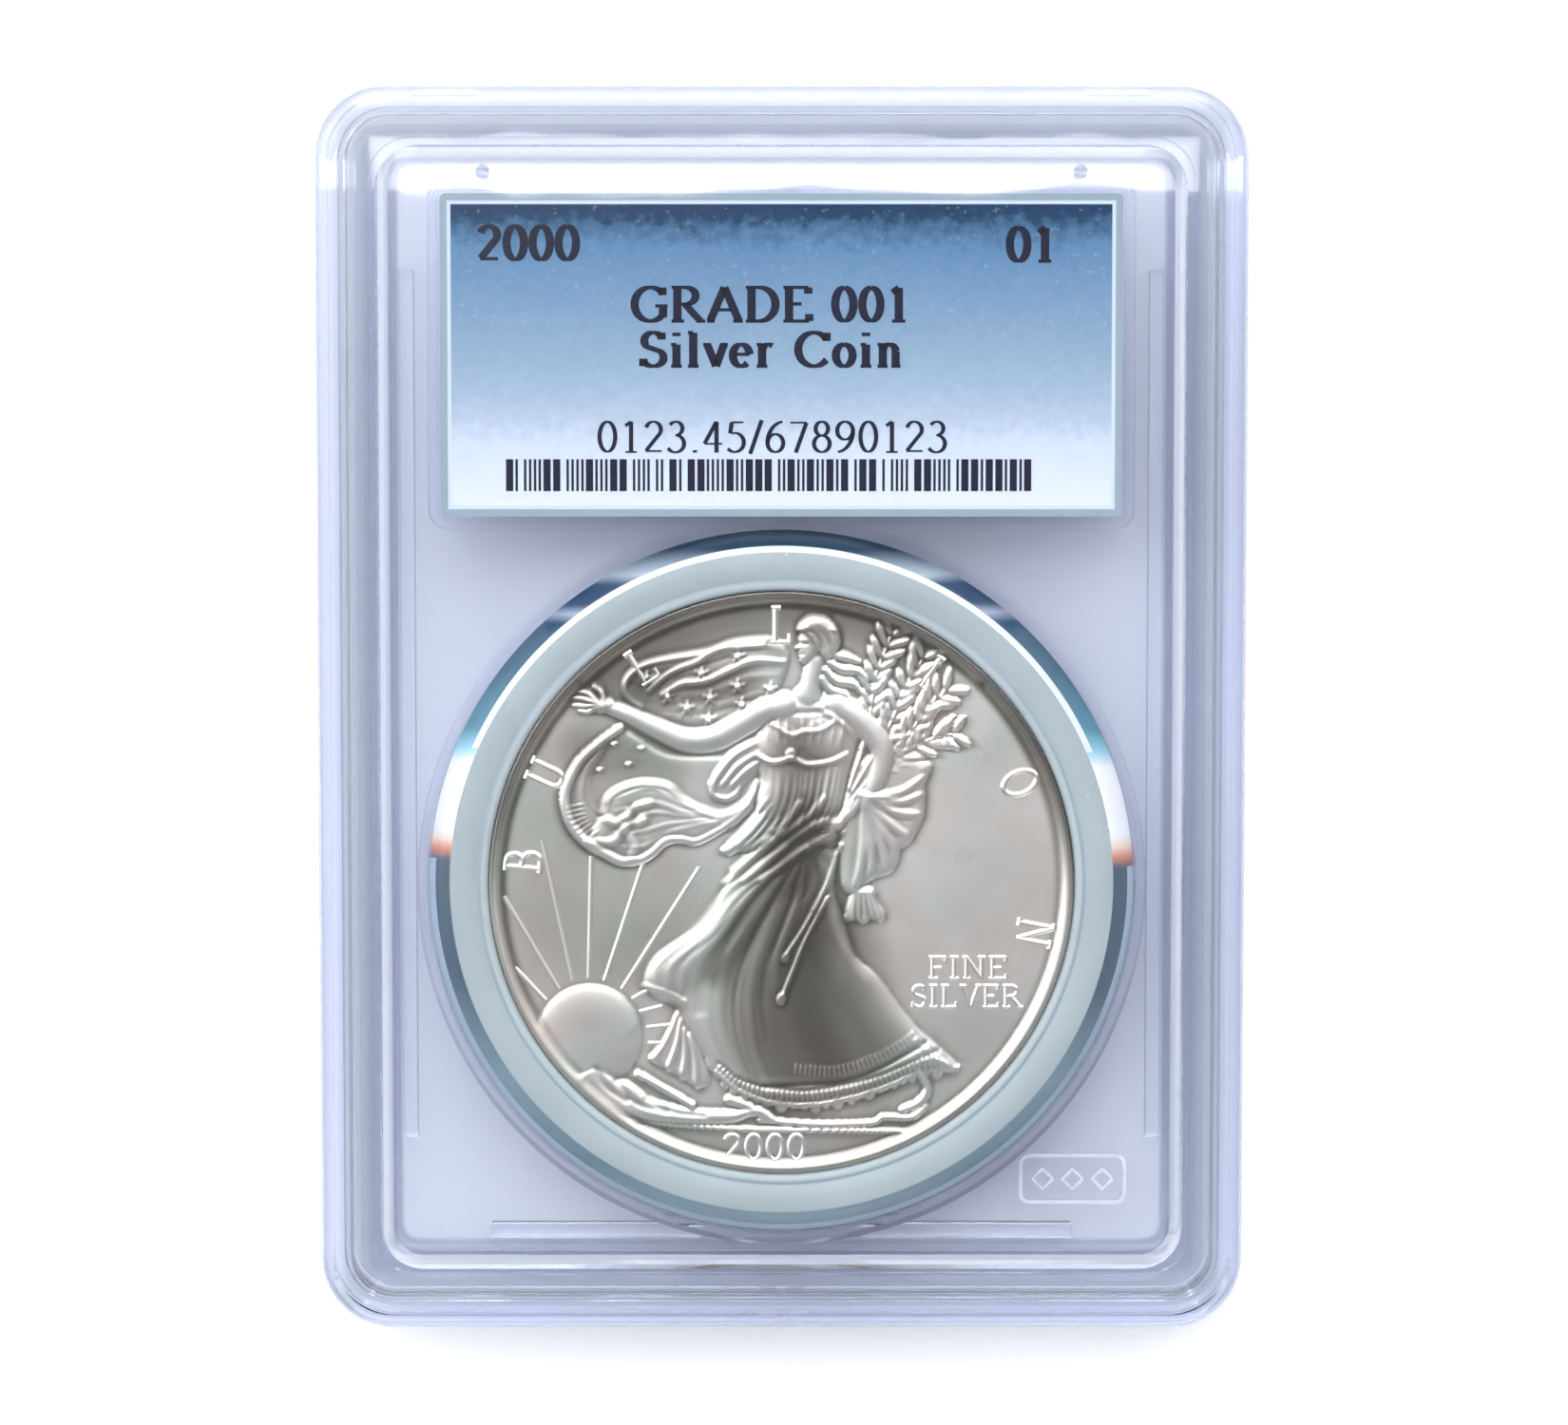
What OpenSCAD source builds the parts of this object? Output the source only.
// Graded coin slab: a sealed two-part clear plastic case with a silver coin held in a clear ring
// and a printed card in a pocket above it. It lies on its back: +Z comes out of the front window,
// +Y points to the card, and the origin is under the middle of the case, at the level it rests on.
// All sizes are in millimetres.

/* [Case] */
// Width of the case
case_w = 64; // [63:0.5:70]
// Height of the case, from the coin end to the card end
case_h = 86; // [85.5:0.5:92]
// Outer corner radius, seen from the front
corner_r = 5; // [4.5:0.25:6]
// Radius along the outer edge of the front
edge_r = 1; // [0.6:0.1:1]
// Thickness of the front window and of the back plate
plate_t = 1.25; // [1.1:0.05:1.6]
// Thickness of the outer wall
wall_t = 2; // [1.8:0.1:2.2]
// How far the stacking rim stands above the window
rim_h = 1.2; // [1:0.1:1.6]
// How far the stacking rails stand out of the back
rail_h = 1.2; // [1:0.1:1.6]

/* [Coin] */
// Diameter of the coin
coin_d = 40.6; // [38:0.1:40.6]
// Thickness of the coin at its rim
coin_t = 2.98; // [2.4:0.01:3]
// Place of the coin's centre below the middle of the case
coin_drop = 12.1; // [11.9:0.1:12.2]
// Outer diameter of the ring round the coin
ring_d = 49.1; // [48:0.1:49.2]

/* [Card] */
// Width of the card
card_w = 47; // [40:0.5:47]
// Height of the card
card_h = 22.2; // [18:0.2:22.2]
// Thickness of the card
card_t = 0.3; // [0.2:0.05:0.4]
// Place of the card's centre above the middle of the case
card_rise = 24.5; // [24.4:0.1:25]

/* [Hidden] */
$fn = 96;
eps = 0.01;

// Levels from the back to the front
coin_play = 0.06;
back_z = rail_h;
floor_z = back_z + plate_t;
roof_z = floor_z + coin_t + 2 * coin_play;
window_z = roof_z + plate_t;
top_z = window_z + rim_h;
seam_z = floor_z + 1.75;

// Stacking rim: a flat top, a step down to a ledge, and a slope down to the window
step_in = 2.9;
step_h = 0.3;
slope_top_in = 4.2;
slope_in = 5;
window_r = 2.2;
channel_in = 3.6;
channel_top_z = top_z - step_h - plate_t;
back_edge_r = 0.4;

// Welded seam: a tongue under the front shell in a groove along the rear shell's wall
tongue_w = 0.7;
tongue_h = 0.8;
tongue_in = 0.75;
groove_gap = 0.1;
seam_gap = 0.02;

// Stacking rails on the back, which fit inside the rim of the case below
rail_w = 1;
rail_in = 5.3;
end_rail_len = 41;
side_rail_len = 61;

// Coin, its ring and the well that holds the ring
coin_r = coin_d / 2;
bore_r = coin_r + coin_play;
ring_r = ring_d / 2;
ring_bevel = 1.45;
ring_lip = 0.25;
ring_gap = 0.02;
well_r = ring_r + 0.05;
rib_t = 0.7;
coin_y = -coin_drop;
coin_z = floor_z + coin_play;
coin_rim_w = 0.9;
field_depth = 0.3;
coin_edge = 0.15;
sun_at = [-13.3, -10.7];
sun_r = 3.65;
ray_count = 11;

// Card pocket: a rib round the card, with a ledge inside it that the card's edges lie on
pocket_gap = 0.2;
pocket_w = card_w + 2 * pocket_gap;
pocket_h = card_h + 2 * pocket_gap;
pocket_r = 0.6;
ledge_w = 1;
ledge_gap = 0.02;
card_play = 0.03;
foil_w = 40;
foil_h = 15;
foil_t = 0.06;
card_z = roof_z - card_play - card_t;

// Marks of the mould: pry notches at the card end, a gate vestige at the coin end, ejector pins
pry_x = 22.9;
pry_w = 4.4;
pry_reach = 1.3;
pry_depth = 0.15;
gate_x = 1;
gate_w = 1.1;
pin_mark_at = [20.5, 37];
pin_mark_r = 0.5;
pin_mark_depth = 0.15;
badge_at = [20.5, -33.3];
badge_w = 7.6;
badge_h = 3.6;
badge_depth = 0.15;

// A rectangle with round corners, centred on the origin
module rounded_rect(w, h, r) {
  square([w - 2 * r, h], center = true);
  square([w, h - 2 * r], center = true);
  for (x = [-1, 1], y = [-1, 1])
    translate([x * (w / 2 - r), y * (h / 2 - r)])
      circle(r);
}

// A block that follows the case's outline, moved in by inset, from z0 to z1
module case_block(inset, r, z0, z1) {
  translate([0, 0, z0])
    linear_extrude(z1 - z0)
      rounded_rect(case_w - 2 * inset, case_h - 2 * inset, r);
}

// Carries the section in its first child round a rectangle whose corners have radius r.
// The section's x runs outwards from the rectangle's sides and its y runs up.
module carry_round(w, h, r) {
  for (turn = [0:3]) {
    across = turn % 2 == 0 ? w : h;
    along = turn % 2 == 0 ? h : w;
    rotate(90 * turn) {
      translate([across / 2, along / 2 - r, 0])
        rotate([90, 0, 0])
          linear_extrude(along - 2 * r)
            children();
      translate([across / 2 - r, along / 2 - r, 0])
        rotate_extrude(angle = 90)
          translate([r, 0])
            children();
    }
  }
}

// A pan with sloping sides: at z0 it follows the outline at inset, and it flares outwards by flare
module flared_pan(inset, r, z0, z1, flare) {
  case_block(inset, r, z0, z1);
  carry_round(case_w - 2 * inset, case_h - 2 * inset, r)
    translate([0, z0])
      polygon([[-eps, 0], [0, 0], [flare, z1 - z0], [-eps, z1 - z0]]);
}

// The case's outline from z0 to z1 with one edge rounded to radius r; flip puts the round edge at z0
module edged_block(z0, z1, r, flip) {
  round_z = flip ? z0 + r : z1 - r;
  case_block(0, corner_r, flip ? round_z : z0, flip ? z1 : round_z);
  case_block(r, corner_r - r, z0, z1);
  carry_round(case_w - 2 * r, case_h - 2 * r, corner_r - r)
    translate([0, round_z])
      intersection() {
        circle(r);
        translate([-eps, -r])
          square([r + eps, 2 * r]);
      }
}

// A shallow round dimple in a face at level z, at its middle the given depth
module dimple(r, depth, z) {
  ball_r = (r * r + depth * depth) / (2 * depth);
  translate([0, 0, z + ball_r - depth])
    sphere(ball_r);
}

// The ring of wall left when the outline at inset + w is cut from the outline at inset
module seam_ring(inset, w, z0, z1) {
  difference() {
    case_block(inset, corner_r - inset, z0, z1);
    case_block(inset + w, corner_r - inset - w, z0 - 1, z1 + 1);
  }
}

module round_wall(r, t, z0, z1) {
  translate([0, coin_y, z0])
    difference() {
      cylinder(r = r + t, h = z1 - z0);
      translate([0, 0, -1])
        cylinder(r = r, h = z1 - z0 + 2);
    }
}

module card_block(w, h, r, z0, z1) {
  translate([0, card_rise, z0])
    linear_extrude(z1 - z0)
      rounded_rect(w, h, r);
}

// Four rails along the back, clear of the corners
module stacking_rails() {
  for (side = [-1, 1]) {
    translate([-end_rail_len / 2, side * (case_h / 2 - rail_in - rail_w / 2) - rail_w / 2, 0])
      cube([end_rail_len, rail_w, back_z + eps]);
    translate([side * (case_w / 2 - rail_in - rail_w / 2) - rail_w / 2, -side_rail_len / 2, 0])
      cube([rail_w, side_rail_len, back_z + eps]);
  }
}

// A plain moulded badge: a frame with a row of diamonds in it
module badge() {
  translate([badge_at.x, badge_at.y, floor_z - eps])
    linear_extrude(badge_depth + eps) {
      difference() {
        rounded_rect(badge_w, badge_h, 0.8);
        rounded_rect(badge_w - 0.6, badge_h - 0.6, 0.5);
      }
      for (i = [-1, 0, 1])
        translate([i * 2.1, 0])
          rotate(45)
            square(1.2, center = true);
    }
}

module rear_shell() {
  color([0.8, 0.82, 0.93, 0.5])
    union() {
      difference() {
        edged_block(back_z, seam_z - seam_gap, back_edge_r, true);
        case_block(wall_t, corner_r - wall_t, floor_z, seam_z + 1);
        seam_ring(tongue_in - groove_gap, tongue_w + 2 * groove_gap,
                  seam_z - tongue_h - groove_gap, seam_z + 1);
        for (side = [-1, 1])
          translate([side * gate_x - gate_w / 2, -case_h / 2 - eps, back_z - 1])
            cube([gate_w, 0.5, seam_z]);
      }
      stacking_rails();
      round_wall(well_r, rib_t, floor_z - eps, roof_z - ring_gap);
      difference() {
        card_block(pocket_w + 2 * rib_t, pocket_h + 2 * rib_t, pocket_r + rib_t,
                   floor_z - eps, roof_z - ring_gap);
        card_block(pocket_w, pocket_h, pocket_r, card_z - ledge_gap, roof_z + 1);
        card_block(pocket_w - 2 * ledge_w, pocket_h - 2 * ledge_w, pocket_r, floor_z - 1, roof_z + 1);
        translate([0, coin_y, floor_z - 1])
          cylinder(r = well_r, h = roof_z);
      }
      badge();
    }
}

module front_shell() {
  color([0.84, 0.86, 0.95, 0.5])
    union() {
      difference() {
        edged_block(seam_z, top_z, edge_r, false);
        case_block(step_in, corner_r - step_in, top_z - step_h, top_z + 1);
        flared_pan(slope_in, window_r, window_z, top_z - step_h + eps, slope_in - slope_top_in);
        difference() {
          case_block(wall_t, corner_r - wall_t, seam_z - 1, channel_top_z);
          case_block(channel_in, corner_r - wall_t, roof_z, channel_top_z + 1);
        }
        for (side = [-1, 1]) {
          translate([side * pry_x - pry_w / 2, case_h / 2 - pry_reach, top_z - pry_depth])
            cube([pry_w, 2 * pry_reach, 2 * pry_depth]);
          translate([side * pin_mark_at.x, pin_mark_at.y, 0])
            dimple(pin_mark_r, pin_mark_depth, window_z);
        }
      }
      seam_ring(tongue_in, tongue_w, seam_z - tongue_h, seam_z + eps);
    }
}

module coin_ring() {
  z0 = floor_z + ring_gap;
  z1 = roof_z - ring_gap;
  color([0.72, 0.82, 0.84, 0.6])
    translate([0, coin_y, 0])
      rotate_extrude()
        polygon([[bore_r, z0 + ring_lip], [bore_r + ring_lip, z0],
                 [ring_r - ring_bevel, z0], [ring_r, z0 + ring_bevel],
                 [ring_r, z1 - ring_bevel], [ring_r - ring_bevel, z1],
                 [bore_r + ring_lip, z1], [bore_r, z1 - ring_lip]]);
}

// A coin blank: a raised rim round a sunk field on both faces
module coin_blank() {
  field_r = coin_r - coin_rim_w;
  rotate_extrude()
    polygon([[0, field_depth], [field_r - 0.2, field_depth], [field_r, 0],
             [coin_r - coin_edge, 0], [coin_r, coin_edge],
             [coin_r, coin_t - coin_edge], [coin_r - coin_edge, coin_t],
             [field_r, coin_t], [field_r - 0.2, coin_t - field_depth],
             [0, coin_t - field_depth]]);
}

// Rising sun with rays, low on the left of the front face
module coin_sun() {
  intersection() {
    union() {
      translate(sun_at)
        circle(sun_r);
      for (i = [0:ray_count - 1])
        translate(sun_at)
          rotate(150 - i * 18)
            polygon([[sun_r + 0.6, -0.22], [sun_r + (i % 2 == 0 ? 7.5 : 4.5), -0.05],
                     [sun_r + (i % 2 == 0 ? 7.5 : 4.5), 0.05], [sun_r + 0.6, 0.22]]);
    }
    circle(coin_r - coin_rim_w - 0.3);
  }
}

// A robed walking figure: head, gown, outstretched arm and the cloak that blows out below it
module coin_figure() {
  translate([2.6, 16.9])
    circle(1.8);
  polygon([[-1.6, 12.4], [0.6, 14.6], [3.6, 14.4], [5.4, 10.8], [9.6, 5.2], [4.8, 3],
           [7.2, -4], [12, -12.9], [3, -15.3], [-4, -14.6], [-8.6, -9.8], [-8.8, -5],
           [-3.6, 1.6], [-1.4, 5.4]]);
  polygon([[-1, 12.4], [-1, 9.2], [-7.4, 8.6], [-12.8, 12.2], [-12.4, 13.2], [-7, 10.8]]);
  polygon([[-1, 8], [-8, 8.2], [-13.6, 6.4], [-14.6, 2.6], [-9, 3.6], [-1.6, 2.8]]);
}

module coin() {
  relief_z = coin_t - field_depth;
  color([0.78, 0.77, 0.74])
    translate([0, coin_y, coin_z]) {
      coin_blank();
      translate([0, 0, relief_z - eps])
        linear_extrude(0.12 + eps)
          coin_sun();
      translate([0, 0, relief_z - eps])
        linear_extrude(0.24 + eps)
          coin_figure();
      for (turn = [0:4])
        rotate(72 * turn)
          translate([0, 9, field_depth - 0.14])
            linear_extrude(0.14 + eps)
              circle(r = 2.6, $fn = 5);
    }
}

module label_card() {
  color([0.62, 0.72, 0.86])
    card_block(card_w, card_h, 0.4, card_z, card_z + card_t);
}

module security_foil() {
  color([0.75, 0.75, 0.7])
    card_block(foil_w, foil_h, 0.8, card_z - foil_t, card_z);
}

rear_shell();
front_shell();
coin_ring();
coin();
label_card();
security_foil();
